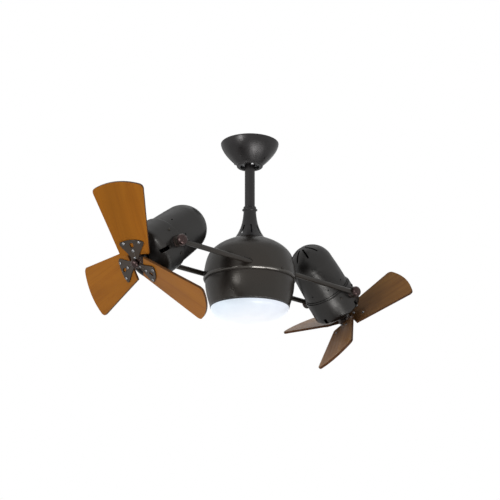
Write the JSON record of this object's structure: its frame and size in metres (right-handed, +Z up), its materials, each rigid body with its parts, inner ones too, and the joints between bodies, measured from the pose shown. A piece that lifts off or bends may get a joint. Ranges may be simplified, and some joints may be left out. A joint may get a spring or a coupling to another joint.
{
  "type": "ceiling fan",
  "caption": "Ceiling fan with a canopy and downrod, a turning lamp globe and paired bars that carry a tilting motor head with flat blades at each end.",
  "frame": {"origin": "on the ceiling face, on the downrod's axis", "axes": "+Z up; the two bars run along X with the left head at -X and the right head at +X; -Y faces the side of the near bar"},
  "size_m": [0.9715, 0.3621, 0.548],
  "materials": {
    "bronze": "satin dark bronze lacquer",
    "bronze_cast": "die cast, painted satin dark bronze",
    "steel": "zinc plated",
    "cast_aluminium": "as cast",
    "lamination": "stacked laminations, lacquered",
    "copper": "enamelled copper and bronze",
    "black_plastic": "moulded",
    "white_plastic": "board and driver case",
    "white_metal": "white enamel reflector",
    "glass": "frosted opal",
    "wood": "honey stained plywood, lacquered"
  },
  "bodies": {
    "ceiling_stem": {"canopy": "bronze", "canopy_screws": "bronze", "hanger_bracket": "steel", "receiver_box": "black_plastic", "hanger_ball": "black_plastic", "ball_pin": "steel", "downrod": "bronze", "rod_pin": "steel", "yoke_cover": "bronze", "cover_screws": "steel", "spindle": "steel", "slip_rings": "copper", "spindle_nut": "steel"},
    "carousel": {"bar_carrier": "cast_aluminium", "carrier_bearings": "steel", "brush_block": "black_plastic", "upper_dome": "bronze", "lower_shell": "bronze", "shell_screws": "steel", "near_bar": "bronze", "far_bar": "bronze", "bar_screws": "steel", "pivot_bushes": "copper", "lamp_tray": "white_metal", "tray_posts": "steel", "led_board": "white_plastic", "led_driver": "white_plastic", "glass_bowl": "glass", "glass_clips": "steel"},
    "left_head": {"left_rear_housing": "bronze_cast", "left_front_housing": "bronze_cast", "left_housing_screws": "steel", "left_stator": "lamination", "left_windings": "copper", "left_bearings": "steel", "left_pivot_bolts": "bronze"},
    "left_fan": {"left_rotor": "lamination", "left_hub": "bronze_cast", "left_blade_1": "wood", "left_blade_2": "wood", "left_blade_3": "wood", "left_irons": "bronze", "left_blade_screws": "steel", "left_nose_cap": "bronze"},
    "right_head": {"right_rear_housing": "bronze_cast", "right_front_housing": "bronze_cast", "right_housing_screws": "steel", "right_stator": "lamination", "right_windings": "copper", "right_bearings": "steel", "right_pivot_bolts": "bronze"},
    "right_fan": {"right_rotor": "lamination", "right_hub": "bronze_cast", "right_blade_1": "wood", "right_blade_2": "wood", "right_blade_3": "wood", "right_irons": "bronze", "right_blade_screws": "steel", "right_nose_cap": "bronze"}
  },
  "joints": [
    {"name": "carousel_turn", "type": "hinge", "parent": "ceiling_stem", "child": "carousel", "pos_m": [0, 0, -0.34], "axis": [0, 0, 1], "continuous": true},
    {"name": "left_tilt", "type": "hinge", "parent": "carousel", "child": "left_head", "pos_m": [-0.3045, 0, -0.344], "axis": [0, -1, 0], "range_deg": [-129, 51]},
    {"name": "left_spin", "type": "hinge", "parent": "left_head", "child": "left_fan", "pos_m": [-0.3045, 0, -0.344], "axis": [-0.7771, 0, -0.6293], "continuous": true},
    {"name": "right_tilt", "type": "hinge", "parent": "carousel", "child": "right_head", "pos_m": [0.3045, 0, -0.344], "axis": [0, 1, 0], "range_deg": [-134, 46]},
    {"name": "right_spin", "type": "hinge", "parent": "right_head", "child": "right_fan", "pos_m": [0.3045, 0, -0.344], "axis": [0.7193, 0, -0.6947], "continuous": true}
  ]
}
